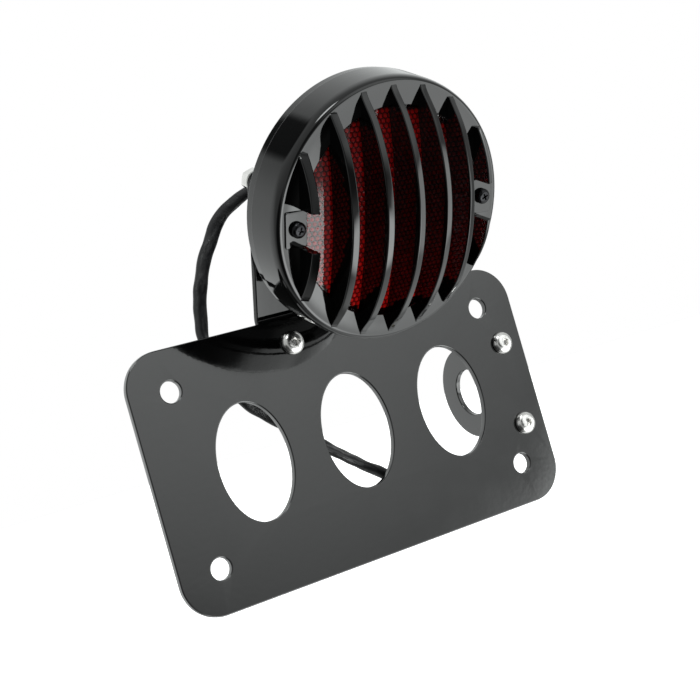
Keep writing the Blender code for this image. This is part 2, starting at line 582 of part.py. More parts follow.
# colour, place in the sleeve's mouth (across, back), height of the plug, start on the board
LEADS = (("red", WIRE_RED, 0.0, 1.0, -27.5, (-3.0, -6.0)),
         ("white", WIRE_WHITE, 0.9, -0.6, -33.5, (0.0, -11.5)),
         ("black", WIRE_BLACK, -0.9, -0.6, -39.5, (3.0, -6.0)))
for name, mat, a, b, z, (x, y) in LEADS:
    side = across * a + Vector((0, b, 0))
    route = [tail + side + run * 0.4, tail + side * 1.5 + run * 5, (27.0, tail.y + b, z + 1.6),
             (33.5, LEAD_Y, z), (PLUG_X - 0.4, LEAD_Y, z)]
    cord(f"lead_{name}", route, LEAD_D, mat, PLATE, 3.0, 2)
    put(f"plug_{name}", lathe(PLUG, 12), PLATE, BRASS, (PLUG_X, LEAD_Y, z), (0, math.pi / 2, 0))
    route = [(x, y, BOARD_W - BOARD_T - GAP - 0.2), (x * 1.4, y - 2, -27), (x * 0.8, -0.2 * y, -38),
             (x * 0.33, 0.5 * x, -46.2)]
    cord(f"board_lead_{name}", route, BOARD_LEAD_D, mat, LAMP, 3.0, 2)
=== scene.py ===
"""Looks of a side-mount motorcycle tail light: gloss black plate carrier, bracket, arm and finned
lamp cover, red prismatic lens, bright fasteners and a crumpled lead sleeve.

Lengths in this file are millimetres on axes that are measured from the frame (see "axes").
"""
import math
import random

import bmesh
import bpy
import numpy as np
from mathutils import Matrix, Vector


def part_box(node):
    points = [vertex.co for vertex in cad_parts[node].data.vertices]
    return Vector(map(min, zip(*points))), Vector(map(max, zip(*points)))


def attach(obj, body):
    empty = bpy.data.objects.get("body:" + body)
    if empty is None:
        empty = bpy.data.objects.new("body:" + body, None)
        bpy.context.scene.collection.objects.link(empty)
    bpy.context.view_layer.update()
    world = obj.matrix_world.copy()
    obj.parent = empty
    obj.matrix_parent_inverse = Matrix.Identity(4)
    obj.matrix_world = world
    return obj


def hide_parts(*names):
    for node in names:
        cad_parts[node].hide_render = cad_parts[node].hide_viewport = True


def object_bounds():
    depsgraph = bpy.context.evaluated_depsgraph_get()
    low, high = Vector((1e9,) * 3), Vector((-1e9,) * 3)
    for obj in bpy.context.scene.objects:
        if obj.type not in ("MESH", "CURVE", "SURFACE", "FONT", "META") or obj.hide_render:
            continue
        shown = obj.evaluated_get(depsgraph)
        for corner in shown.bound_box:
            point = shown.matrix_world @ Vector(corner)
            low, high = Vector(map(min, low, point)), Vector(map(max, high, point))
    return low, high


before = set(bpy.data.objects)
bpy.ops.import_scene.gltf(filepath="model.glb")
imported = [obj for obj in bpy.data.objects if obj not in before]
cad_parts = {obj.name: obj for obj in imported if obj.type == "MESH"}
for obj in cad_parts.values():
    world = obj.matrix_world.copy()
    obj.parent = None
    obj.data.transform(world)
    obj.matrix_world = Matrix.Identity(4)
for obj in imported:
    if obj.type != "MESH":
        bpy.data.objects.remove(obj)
CAD_BOX = [list(corner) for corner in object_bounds()]
MM = 0.001

# ---------------------------------------------------------------- axes, measured from the frame
PLATE_OFFSET = (0.1, -0.35)    # centre of the plate's outline from the middle of its four holes
low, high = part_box("plate_carrier")
plate_zero = Vector(((low.x + high.x) / 2, low.y, (low.z + high.z) / 2))
plate_zero -= Vector((PLATE_OFFSET[0], 0, PLATE_OFFSET[1])) * MM
# plate: x across, y back, z up; front: x across, y up, z out of the plate's front face
PLATE = Matrix.Translation(plate_zero) @ Matrix.Scale(MM, 4)
FRONT = PLATE @ Matrix.Rotation(math.pi / 2, 4, 'X')
# lamp: the gasket is a plain ring round the lamp's axis, and w = 0 is the cover's front rim
GASKET_W = -9.75
ring = np.array([v.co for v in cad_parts["lens_gasket"].data.vertices])
lamp_axis = Vector(np.linalg.svd(ring - ring.mean(0))[2][2])
lamp_axis *= -math.copysign(1, lamp_axis.y)
tilt = math.atan2(-lamp_axis.z, -lamp_axis.y)
lamp_zero = Vector(ring.mean(0)) - lamp_axis * GASKET_W * MM
LAMP = Matrix.Translation(lamp_zero) @ Matrix.Rotation(math.pi / 2 + tilt, 4, 'X') @ Matrix.Scale(MM, 4)


def middle(node):
    a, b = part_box(node)
    return (a + b) / 2


across = LAMP.inverted() @ middle("cover_screw_right") - LAMP.inverted() @ middle("cover_screw_left")
COVER = LAMP @ Matrix.Rotation(math.atan2(across.y, across.x), 4, 'Z')

# ---------------------------------------------------------------- camera
EYE = (-279.6, -481.3, 20.7)                   # plate axes
EYE_TURN = (91.159, 16.056, -30.413)           # degrees
LENS_MM, SENSOR_MM = 71.67, 36.0
camera = bpy.data.objects.new("camera", bpy.data.cameras.new("camera"))
camera.data.lens, camera.data.sensor_width = LENS_MM, SENSOR_MM
camera.data.clip_start, camera.data.clip_end = 0.02, 20.0
camera.location = PLATE @ Vector(EYE)
camera.rotation_euler = [math.radians(a) for a in EYE_TURN]
bpy.context.collection.objects.link(camera)
bpy.context.scene.camera = camera
bpy.context.scene.view_settings.view_transform = 'Standard'

# ---------------------------------------------------------------- material nodes


class Shader:
    """A material under construction: a Principled BSDF and short ways to add nodes to it."""

    def __init__(self, name, **values):
        self.material = bpy.data.materials.new(name)
        self.material.use_nodes = True
        self.tree = self.material.node_tree
        self.bsdf = self.tree.nodes["Principled BSDF"]
        for key, value in values.items():
            self.bsdf.inputs[key.replace("_", " ").title().replace("Ior", "IOR")].default_value = value
        self.place = self.add("ShaderNodeTexCoord").outputs["Object"]

    def add(self, kind, inputs=None, **settings):
        node = self.tree.nodes.new(kind)
        for key, value in settings.items():
            setattr(node, key, value)
        for key, value in (inputs or {}).items():
            if isinstance(value, bpy.types.NodeSocket):
                self.tree.links.new(value, node.inputs[key])
            else:
                node.inputs[key].default_value = value
        return node

    def noise(self, scale, detail=3.0, distort=0.0):
        return self.add("ShaderNodeTexNoise", {"Vector": self.place, "Scale": scale, "Detail": detail,
                                               "Distortion": distort}).outputs["Fac"]

    def span(self, value, low, high, to_low, to_high):
        return self.add("ShaderNodeMapRange", {"Value": value, "From Min": low, "From Max": high,
                                               "To Min": to_low, "To Max": to_high},
                        interpolation_type='SMOOTHSTEP').outputs["Result"]

    def ramp(self, value, stops):
        node = self.add("ShaderNodeValToRGB", {"Fac": value})
        elements = node.color_ramp.elements
        while len(elements) < len(stops):
            elements.new(0.5)
        for element, (position, colour) in zip(elements, stops):
            element.position = position
            element.color = (*colour, 1)
        return node.outputs["Color"]

    def bump(self, height, distance, normal=None):
        inputs = {"Height": height, "Distance": distance}
        if normal:
            inputs["Normal"] = normal
        return self.add("ShaderNodeBump", inputs).outputs["Normal"]

    def link(self, value, socket):
        self.tree.links.new(value, self.bsdf.inputs[socket])
        return self


def gloss_black(name, peel=0.00001, peel_scale=420.0, under_gloss=0.5, top_gloss=1.0):
    """Black paint under a clear gloss layer, with faint orange peel and dust."""
    s = Shader(name, metallic=0.0, ior=1.5, coat_weight=top_gloss, coat_roughness=0.025, coat_ior=1.5,
               specular_ior_level=under_gloss)
    dust = s.noise(2600.0, 2.0)
    s.link(s.ramp(dust, [(0.0, (0.0022, 0.0023, 0.0024)), (0.7, (0.0026, 0.0027, 0.0028)),
                         (0.8, (0.012, 0.012, 0.012))]), "Base Color")
    s.link(s.span(s.noise(60.0, 4.0), 0.3, 0.7, 0.05, 0.13), "Roughness")
    waves = s.bump(s.noise(peel_scale, 1.0), peel)
    s.link(waves, "Normal").link(waves, "Coat Normal")
    return s.material


def bright_metal(name, dark, light, rough_low, rough_high, scale=900.0, grain=0.000006):
    """Plated or stainless metal: cloudy colour, fine grain, uneven gloss."""
    s = Shader(name, metallic=1.0)
    clouds = s.noise(scale * 0.3, 4.0)
    s.link(s.ramp(clouds, [(0.25, dark), (0.75, light)]), "Base Color")
    s.link(s.span(s.noise(scale, 3.0), 0.3, 0.7, rough_low, rough_high), "Roughness")
    s.link(s.bump(s.noise(scale * 2.5, 2.0), grain), "Normal")
    return s.material


def moulded(name, dark, light, rough=0.45, scale=700.0, grain=0.00001, **values):
    """Moulded plastic, rubber or lacquer: two close tones, fine grain."""
    s = Shader(name, **values)
    s.link(s.ramp(s.noise(scale * 0.5, 3.0), [(0.3, dark), (0.7, light)]), "Base Color")
    s.link(s.span(s.noise(scale, 2.0), 0.3, 0.7, rough * 0.85, rough * 1.15), "Roughness")
    s.link(s.bump(s.noise(scale * 3, 2.0), grain), "Normal")
    return s.material


def vinyl_sleeve():
    """Thin soft PVC sleeve: satin, with small creases across and dull scuffs."""
    s = Shader("vinyl_sleeve", ior=1.5, coat_weight=0.15, coat_roughness=0.25)
    s.link(s.ramp(s.noise(240.0, 5.0), [(0.3, (0.010, 0.010, 0.011)), (0.72, (0.024, 0.024, 0.026))]),
           "Base Color")
    s.link(s.span(s.noise(500.0, 4.0), 0.3, 0.7, 0.28, 0.5), "Roughness")
    creases = s.bump(s.noise(380.0, 5.0, 1.2), 0.00025)
    s.link(s.bump(s.noise(3000.0, 2.0), 0.00002, creases), "Normal")
    return s.material


def red_prisms():
    """The lens's inner prisms: saturated red, painted shade at the domes' feet, a painted glow that grows
    toward the bottom.
    """
    s = Shader("red_prisms", roughness=0.3, ior=1.49, specular_ior_level=0.3)
    height = s.add("ShaderNodeSeparateXYZ", {"Vector": s.place}).outputs["Z"]
    crown = s.add("ShaderNodeAttribute", attribute_name="crown").outputs["Fac"]
    # how high up its dome a point lies, times random tone: this sets the painted shade and painted glow below
    crown = s.add("ShaderNodeMath", {0: crown, 1: s.noise(400.0, 3.0)}, operation='MULTIPLY').outputs["Value"]
    # painted shade: the domes' feet are darker than their crowns
    s.link(s.ramp(crown, [(0.05, (0.02, 0.0, 0.001)), (0.5, (0.48, 0.001, 0.004))]), "Base Color")
    # painted glow: the crowns glow red, though no lamp is lit inside
    s.link(s.ramp(crown, [(0.05, (0.02, 0.0, 0.001)), (0.5, (1.0, 0.010, 0.006))]), "Emission Color")
    # painted glow, stronger toward the bottom of the lens
    s.link(s.span(height, 0.035, 0.085, 0.36, 0.06), "Emission Strength")
    s.link(s.bump(s.noise(1500.0, 2.0), 0.00002), "Normal")
    return s.material


def red_clear():
    """The lens's smooth outer skin: clear red, mostly seen through, with a sharp gloss."""
    s = Shader("red_clear", ior=1.95, alpha=0.3)
    s.link(s.ramp(s.noise(60.0, 3.0), [(0.3, (0.10, 0.0008, 0.002)), (0.7, (0.14, 0.001, 0.003))]),
           "Base Color")
    s.link(s.span(s.noise(500.0, 3.0), 0.3, 0.7, 0.02, 0.05), "Roughness")
    s.link(s.bump(s.noise(260.0, 1.0), 0.000006), "Normal")
    return s.material


PAINT = gloss_black("black_paint")
BRACKET_PAINT = gloss_black("black_paint_thin", 0.000014, 300.0, 0.05, 0.45)
CAST = gloss_black("black_cast", 0.000012, 260.0, 0.05)
BLACK_SCREW = bright_metal("blackened_steel", (0.012, 0.012, 0.013), (0.03, 0.03, 0.032), 0.18, 0.34)
STAINLESS = bright_metal("stainless", (0.74, 0.73, 0.71), (0.9, 0.89, 0.87), 0.14, 0.3)
ZINC = bright_metal("zinc_plate", (0.5, 0.5, 0.47), (0.72, 0.73, 0.72), 0.2, 0.38, 600.0)
PRISMS = red_prisms()
CLEAR_RED = red_clear()
SLEEVE = vinyl_sleeve()
RUBBER = moulded("black_rubber", (0.012, 0.012, 0.012), (0.022, 0.022, 0.022), 0.62, 500.0, 0.00003)
BOARD = moulded("board_white", (0.52, 0.55, 0.52), (0.66, 0.68, 0.65), 0.4, 300.0)
LED = moulded("red_led", (0.5, 0.01, 0.015), (0.7, 0.03, 0.03), 0.12, 300.0, 0.000004)
CHIP = moulded("chip_black", (0.015, 0.015, 0.016), (0.03, 0.03, 0.03), 0.5, 900.0)
WIRES = {"red": moulded("wire_red", (0.42, 0.008, 0.008), (0.56, 0.02, 0.015), 0.38),
         "white": moulded("wire_white", (0.62, 0.62, 0.58), (0.78, 0.78, 0.75), 0.38),
         "black": moulded("wire_black", (0.012, 0.012, 0.012), (0.026, 0.026, 0.026), 0.38)}
TIN = bright_metal("tinned_brass", (0.62, 0.55, 0.36), (0.8, 0.76, 0.62), 0.18, 0.32)

# ---------------------------------------------------------------- mesh helpers
SMOOTH_UNDER = math.radians(34)


def put(name, bm, axes, material, slot, *nodes, flat_wins=True):
    """A bmesh in millimetres on the given axes becomes a piece that stands for these CAD nodes."""
    bmesh.ops.recalc_face_normals(bm, faces=bm.faces[:])
    bm.transform(axes)
    for e in bm.edges:
        e.smooth = e.is_manifold and e.calc_face_angle(0) < SMOOTH_UNDER
    for f in bm.faces:
        f.smooth = True
    mesh = bpy.data.meshes.new(name)
    bm.to_mesh(mesh)
    bm.free()
    mesh.materials.append(material)
    ob = bpy.data.objects.new(name, mesh)
    bpy.context.collection.objects.link(ob)
    if flat_wins:
        ob.modifiers.new("flat faces stay flat", 'WEIGHTED_NORMAL').keep_sharp = True
    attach(ob, "root")
    if nodes:
        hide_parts(*nodes)
    return ob


def circle(r, cx=0.0, cy=0.0, n=64, b=None):
    b = r if b is None else b
    turns = [2 * math.pi * i / n for i in range(n)]
    return [(cx + r * math.cos(a), cy + b * math.sin(a)) for a in turns]


def rounded(w, h, r, cx=0.0, cy=0.0, n=16):
    points = []
    for k, (sx, sy) in enumerate(((1, 1), (-1, 1), (-1, -1), (1, -1))):
        for i in range(n + 1):
            a = math.pi / 2 * (k + i / n)
            points.append((cx + sx * (w / 2 - r) + r * math.cos(a), cy + sy * (h / 2 - r) + r * math.sin(a)))
    return points


def hull(points):
    points = sorted(set((round(x, 5), round(y, 5)) for x, y in points))

    def half(run):
        out = []
        for p in run:
            while len(out) > 1 and ((out[-1][0] - out[-2][0]) * (p[1] - out[-2][1])
                                    - (out[-1][1] - out[-2][1]) * (p[0] - out[-2][0])) <= 0:
                out.pop()
            out.append(p)
        return out[:-1]
    return half(points) + half(points[::-1])


def area(loop):
    return sum(a[0] * b[1] - b[0] * a[1] for a, b in zip(loop, loop[1:] + loop[:1])) / 2


def inset(loop, d):
    """Move a loop to its left by d."""
    out = []
    for i, p in enumerate(loop):
        a, p, b = Vector(loop[i - 1]), Vector(p), Vector(loop[(i + 1) % len(loop)])
        e, f = (p - a).normalized(), (b - p).normalized()
        m = Vector((-e.y - f.y, e.x + f.x)).normalized()
        q = p + m * (d / max(0.5, m.dot(Vector((-e.y, e.x)))))
        out.append((q.x, q.y))
    return out


def band(bm, rings, closed=False):
    """Join rings of equal length with faces; closed also joins the last ring to the first."""
    pairs = list(zip(rings, rings[1:])) + ([(rings[-1], rings[0])] if closed else [])
    for a, b in pairs:
        n = len(a)
        for i in range(n):
            bm.faces.new((a[i], a[(i + 1) % n], b[(i + 1) % n], b[i]))


def rim_edges(bm, ring):
    return [bm.edges.get((ring[i], ring[(i + 1) % len(ring)])) for i in range(len(ring))]


def slab(outer, holes, z0, z1, edge, steps=3, bm=None):
    """A flat solid with holes, whose edges are rounded with radius `edge`."""
    bm = bm or bmesh.new()
    loops = [outer if area(outer) > 0 else outer[::-1]]
    loops += [h if area(h) < 0 else h[::-1] for h in holes]
    turns = [math.pi / 2 * i / steps for i in range(steps + 1)]
    levels = [(z0 + edge * (1 - math.sin(a)), edge * (1 - math.cos(a))) for a in reversed(turns)]
    levels += [(z1 - edge * (1 - math.sin(a)), edge * (1 - math.cos(a))) for a in turns]
    bottom, top = [], []
    for loop in loops:
        rings = [[bm.verts.new((x, y, z)) for x, y in inset(loop, d)] for z, d in levels]
        band(bm, rings)
        bottom += rim_edges(bm, rings[0])
        top += rim_edges(bm, rings[-1])
    for edges in (bottom, top):
        bmesh.ops.triangle_fill(bm, use_beauty=True, use_dissolve=False, edges=edges)
    return bm


def soften(corners, steps=5):
    """A closed outline of (r, w, radius) corners with each corner rounded."""
    out = []
    n = len(corners)
    for i, (x, y, radius) in enumerate(corners):
        p = Vector((x, y))
        if not radius:
            out.append((x, y))
            continue
        a, b = Vector(corners[i - 1][:2]) - p, Vector(corners[(i + 1) % n][:2]) - p
        a = p + a.normalized() * min(radius, 0.48 * a.length)
        b = p + b.normalized() * min(radius, 0.48 * b.length)
        for k in range(steps + 1):
            t = k / steps
            q = a * (1 - t) ** 2 + p * (2 * t * (1 - t)) + b * t * t
            out.append((q.x, q.y))
    return out


def lathe(profile, n=128):
    """Spin a closed (r, w) profile; points on the axis become poles."""
    bm = bmesh.new()
    rings = [[bm.verts.new((0, 0, w))] if r < 1e-6 else
             [bm.verts.new((x, y, w)) for x, y in circle(r, n=n)] for r, w in profile]
    for a, b in zip(rings, rings[1:] + rings[:1]):
        if len(a) == len(b) == 1:
            continue
        for i in range(n):
            j = (i + 1) % n
            if len(a) == 1:
                bm.faces.new((a[0], b[j], b[i]))
            elif len(b) == 1:
                bm.faces.new((a[i], a[j], b[0]))
            else:
                bm.faces.new((a[i], a[j], b[j], b[i]))
    return bm


def bend(bm, s1, arc, place, cuts):
    """Slice a flat pattern across its bend and map every vertex through place()."""
    for i in range(cuts + 1):
        bmesh.ops.bisect_plane(bm, geom=bm.verts[:] + bm.edges[:] + bm.faces[:], dist=1e-5,
                               plane_co=(0, s1 + arc * i / cuts, 0), plane_no=(0, 1, 0))
    for v in bm.verts:
        v.co = Vector(place(*v.co))
    return bm


def smooth_route(points, step):
    """Catmull-Rom curve through the points, sampled about every `step`."""
    p = [Vector(q) for q in points]
    p = [2 * p[0] - p[1]] + p + [2 * p[-1] - p[-2]]
    fine = []
    for a, b, c, d in zip(p, p[1:], p[2:], p[3:]):
        for i in range(16):
            t = i / 16
            fine.append(0.5 * (2 * b + (c - a) * t + (2 * a - 5 * b + 4 * c - d) * t * t
                               + (3 * b - 3 * c + d - a) * t ** 3))
    fine.append(p[-2])
    length = [0.0]
    for a, b in zip(fine, fine[1:]):
        length.append(length[-1] + (b - a).length)
    count = max(2, round(length[-1] / step))
    out, k = [], 0
    for i in range(count + 1):
        want = length[-1] * i / count
        while k < len(length) - 2 and length[k + 1] < want:
            k += 1
        out.append(fine[k].lerp(fine[k + 1], (want - length[k]) / max(1e-9, length[k + 1] - length[k])))
    return out


def tube(path, radius, sides):
    """A closed tube along a path; radius(share along, angle) is its surface's distance from the path."""
    bm = bmesh.new()
    rings = []
    side = Vector((0, 1, 0))
    for i, p in enumerate(path):
        ahead = (path[min(i + 1, len(path) - 1)] - path[max(i - 1, 0)]).normalized()
        side = (side - ahead * side.dot(ahead)).normalized()
        up = ahead.cross(side)
        ring = []
        for k in range(sides):
            a = 2 * math.pi * k / sides
            r = radius(i / (len(path) - 1), a)
            ring.append(bm.verts.new(p + side * (r * math.cos(a)) + up * (r * math.sin(a))))
        rings.append(ring)
    band(bm, rings)
    bm.faces.new(rings[0])
    bm.faces.new(rings[-1])
    return bm


# ---------------------------------------------------------------- sheet metal
GAP = 0.3
PLATE_T, SHEET, ROUND = 3.0, 3.0, 0.5
PLATE_SIZE, PLATE_R = (181.0, 102.0), 15.0
HOLE_PITCH, HOLE_R = (146.0, 68.5), 4.25
WINDOW_PITCH, WINDOW_A, WINDOW_B = 47.2, 15.75, 23.3
BOLT_HOLE = 2.8
BRACKET_BOLTS = [(-18.0, 40.4), (18.0, 40.4)]
ARM_BOLTS = [(80.0, 17.3), (80.0, -18.2)]


def plate_carrier():
    half_x, half_y = HOLE_PITCH[0] / 2, HOLE_PITCH[1] / 2
    holes = [circle(HOLE_R, sx * half_x, sy * half_y, 48) for sx in (1, -1) for sy in (1, -1)]
    holes += [circle(WINDOW_A, i * WINDOW_PITCH, 0, 112, WINDOW_B) for i in (-1, 0, 1)]
    holes += [circle(BOLT_HOLE, x, y, 32) for x, y in BRACKET_BOLTS + ARM_BOLTS]
    outline = rounded(*PLATE_SIZE, PLATE_R, *PLATE_OFFSET, n=24)
    put("plate_carrier_painted", slab(outline, holes, -PLATE_T, 0, ROUND), FRONT, PAINT, "black_paint",
        "plate_carrier")


BRACKET_W, BRACKET_FOOT, BRACKET_REACH, BRACKET_R = 56.8, 29.0, 9.5, 8.0
GROMMET_HOLE = 6.0
BEND_Z, BEND_R = 51.25, 3.0
STUD_U, STUD_V = 23.0, 3.0


def lamp_bracket():
    bend_y = PLATE_T + GAP - BEND_R
    bend_end = Vector((0, bend_y + BEND_R * math.cos(tilt), BEND_Z + BEND_R * math.sin(tilt)))
    face_up = Vector((0, -math.sin(tilt), math.cos(tilt)))
    v_end = (bend_end - PLATE.inverted() @ lamp_zero).dot(face_up)
    arc = (BEND_R + SHEET / 2) * tilt
    s1 = BEND_Z - BRACKET_FOOT
    axis_s = s1 + arc - v_end              # where the lamp's axis crosses the flat pattern
    length = axis_s + BRACKET_REACH

    def placed(x, s, t):
        if s <= s1:
            return x, PLATE_T + GAP + t, BRACKET_FOOT + s
        a = min(1.0, (s - s1) / arc) * tilt
        rest = max(0.0, s - s1 - arc)
        return (x, bend_y + (BEND_R + t) * math.cos(a) - rest * math.sin(a),
                BEND_Z + (BEND_R + t) * math.sin(a) + rest * math.cos(a))

    holes = [circle(BOLT_HOLE, x, z - BRACKET_FOOT, 32) for x, z in BRACKET_BOLTS]
    holes += [circle(BOLT_HOLE, s * STUD_U, axis_s + STUD_V, 32) for s in (-1, 1)]
    holes.append(circle(GROMMET_HOLE, 0, axis_s, 40))
    flat = slab(rounded(BRACKET_W, length, BRACKET_R, 0, length / 2), holes, 0, SHEET, ROUND)
    put("lamp_bracket_painted", bend(flat, s1, arc, placed, 10), PLATE, BRACKET_PAINT, "black_paint",
        "lamp_bracket")


EYE_X, EYE_Y, EYE_Z = 90.0, 43.0, -0.8
EYE_R, EYE_HOLE = 21.0, 10.6
ARM_T, ARM_BEND_R, ARM_HALF, ARM_LEFT, ARM_MID_Z = 2.5, 1.5, 23.9, 71.0, -0.45
ARM_CORNER_R, ARM_STRAIGHT = 6.0, 3.0      # flange corners; straight stretch past the bend


def side_arm():
    s1 = EYE_X - ARM_T - ARM_BEND_R - ARM_LEFT
    arc = (ARM_BEND_R + ARM_T / 2) * math.pi / 2
    cx, cy = EYE_X - ARM_T - ARM_BEND_R, PLATE_T + GAP + ARM_T + ARM_BEND_R
    eye_s = s1 + arc + EYE_Y - cy

    def placed(z, s, t):
        if s <= s1:
            return ARM_LEFT + s, PLATE_T + GAP + t, z
        a = min(1.0, (s - s1) / arc) * math.pi / 2
        rest = max(0.0, s - s1 - arc)
        r = ARM_BEND_R + ARM_T - t
        return cx + r * math.sin(a), cy - r * math.cos(a) + rest, z

    flange = s1 + arc + ARM_STRAIGHT
    corners = rounded(2 * ARM_HALF, flange + 2 * ARM_CORNER_R, ARM_CORNER_R, ARM_MID_Z,
                      flange / 2 + ARM_CORNER_R)
    outline = hull([p for p in corners if p[1] < flange]
                   + [(ARM_MID_Z + s * ARM_HALF, flange) for s in (-1, 1)] + circle(EYE_R, EYE_Z, eye_s, 160))
    holes = [circle(BOLT_HOLE, z, x - ARM_LEFT, 32) for x, z in ARM_BOLTS]
    holes.append(circle(EYE_HOLE, EYE_Z, eye_s, 96))
    put("side_arm_painted", bend(slab(outline, holes, 0, ARM_T, ROUND), s1, arc, placed, 12), PLATE, PAINT,
        "black_paint", "side_arm")


# ---------------------------------------------------------------- fasteners
BOLT_HEAD_R, BOLT_HEAD_H, BOLT_SOCKET, SHANK_R = 4.75, 2.75, 3.1, 2.5
THREAD, THREAD_DEPTH = 0.8, 0.32
NUT_FLATS, NUT_H, NUT_BORE, WASHER_R, WASHER_T = 8.0, 4.7, 2.55, 5.0, 1.0


def threaded(r, start, end):
    """Profile of a threaded stretch from height start down to end: ridges of pitch THREAD."""
    count = max(1, int((start - end) / THREAD))
    return [(r - THREAD_DEPTH * (k % 2), start - (start - end) * k / (2 * count)) for k in range(2 * count)]


def screw(head, length, r, thread_from, recess, depth, n=48):
    """A screw with its head's underside at 0. head is its (r, z) outline from rim to crown."""
    bm = bmesh.new()
    profile = [(r * 0.75, -length)] + threaded(r, thread_from, -length + 0.4)[::-1] + [(r, 0.0)] + head
    rings = [[bm.verts.new((x, y, w)) for x, y in circle(rr, n=n)] for rr, w in profile]
    band(bm, rings)
    bm.faces.new(rings[0][::-1])
    top = head[-1][1]
    lip = [bm.verts.new((x, y, top)) for x, y in recess]
    bevel = [bm.verts.new((0.95 * x, 0.95 * y, top - 0.12)) for x, y in recess]
    floor = [bm.verts.new((0.88 * x, 0.88 * y, top - depth)) for x, y in recess]
    band(bm, [lip, bevel, floor])
    bm.faces.new(floor)
    edges = rim_edges(bm, rings[-1]) + rim_edges(bm, lip)
    bmesh.ops.triangle_fill(bm, use_beauty=True, use_dissolve=False, edges=edges)
    return bm


def button_head(r, h, steps=9):
    """Rim, then a dome that ends in a flat crown."""
    rim, crown, sweep = 0.45, 0.42, math.radians(64)
    out = [(r - 0.25, 0.0), (r, 0.2), (r, rim)]
    for i in range(1, steps + 1):
        a = sweep * i / steps
        out.append((r * (1 - crown * (1 - math.cos(a)) / (1 - math.cos(sweep))),
                    rim + (h - rim) * math.sin(a) / math.sin(sweep)))
    return out


def nut(n=48):
    """Hex nut whose corners are turned off at both faces."""
    half, bore = NUT_FLATS / 2, NUT_BORE
    bm = bmesh.new()

    def ring(kind):
        out = []
        for i in range(n):
            a = 2 * math.pi * i / n
            corner = half / math.cos((a + math.pi / 6) % (math.pi / 3) - math.pi / 6)
            drop = (corner - half * 0.96) * 0.5
            r, z = {"bore_low": (bore, 0.4), "mouth_low": (bore + 0.35, 0.0), "face_low": (half * 0.96, 0.0),
                    "side_low": (corner, drop), "side_high": (corner, NUT_H - drop),
                    "face_high": (half * 0.96, NUT_H), "mouth_high": (bore + 0.35, NUT_H),
                    "bore_high": (bore, NUT_H - 0.4)}[kind]
            out.append(bm.verts.new((r * math.cos(a), r * math.sin(a), z)))
        return out
    band(bm, [ring(k) for k in ("bore_low", "mouth_low", "face_low", "side_low", "side_high", "face_high",
                                "mouth_high", "bore_high")], closed=True)
    return bm


def washer():
    return slab(circle(WASHER_R, n=64), [circle(BOLT_HOLE, n=48)], 0, WASHER_T, 0.15, 2)


def hexagon(across_flats):
    """Outline of a hex socket."""
    return circle(across_flats / math.sqrt(3), n=6)


def cross(reach, half):
    """Outline of a cross recess."""
    return [(half, half), (half, reach), (-half, reach), (-half, half), (-reach, half), (-reach, -half),
            (-half, -half), (-half, -reach), (half, -reach), (half, -half), (reach, -half), (reach, half)]


def at(axes, x, y, z, turn=0.0):
    """Axes moved to a point and turned about their own Z."""
    return axes @ Matrix.Translation((x, y, z)) @ Matrix.Rotation(turn, 4, 'Z')


def plate_fasteners():
    for prefix, spots, stack in (("bracket", zip(("left", "right"), BRACKET_BOLTS), PLATE_T + GAP + SHEET),
                                 ("arm", zip(("upper", "lower"), ARM_BOLTS), PLATE_T + GAP + ARM_T)):
        washer_z = -(stack + GAP + WASHER_T)
        nut_z = washer_z - GAP - NUT_H
        for i, (side, (x, y)) in enumerate(spots):
            turn = 0.35 + 0.5 * i
            bolt = screw(button_head(BOLT_HEAD_R, BOLT_HEAD_H), 1.1 + GAP - nut_z, SHANK_R, washer_z,
                         hexagon(BOLT_SOCKET), 1.6)
            put(f"{prefix}_bolt_{side}_steel", bolt, at(FRONT, x, y, GAP, turn), STAINLESS, "stainless",
                f"{prefix}_bolt_{side}")
            put(f"{prefix}_washer_{side}_zinc", washer(), at(FRONT, x, y, washer_z), ZINC, "zinc",
                f"{prefix}_washer_{side}")
            put(f"{prefix}_nut_{side}_zinc", nut(), at(FRONT, x, y, nut_z, turn), ZINC, "zinc",
                f"{prefix}_nut_{side}")


HOUSE_BACK = -51.1
STUD_END, STUD_START = -8.8, -47.9         # from the bracket's back; from the lamp's front rim


def lamp_studs():
    back = HOUSE_BACK - GAP - SHEET
    washer_w = back - GAP - WASHER_T
    nut_w = washer_w - GAP - NUT_H
    for side, s in (("left", -1), ("right", 1)):
        spot = (s * STUD_U, STUD_V)
        tip = back + STUD_END
        thread = threaded(SHANK_R, -52.0, tip + 0.4)[::-1]
        stud = lathe([(0, tip), (2.1, tip)] + thread
                     + [(SHANK_R, -51.5), (SHANK_R, STUD_START), (0, STUD_START)], 40)
        put(f"housing_stud_{side}_zinc", stud, at(LAMP, *spot, 0), ZINC, "zinc", f"housing_stud_{side}")
        put(f"stud_washer_{side}_zinc", washer(), at(LAMP, *spot, washer_w), ZINC, "zinc",
            f"stud_washer_{side}")
        put(f"stud_nut_{side}_steel", nut(), at(LAMP, *spot, nut_w, 0.2 * s), STAINLESS, "stainless",
            f"stud_nut_{side}")


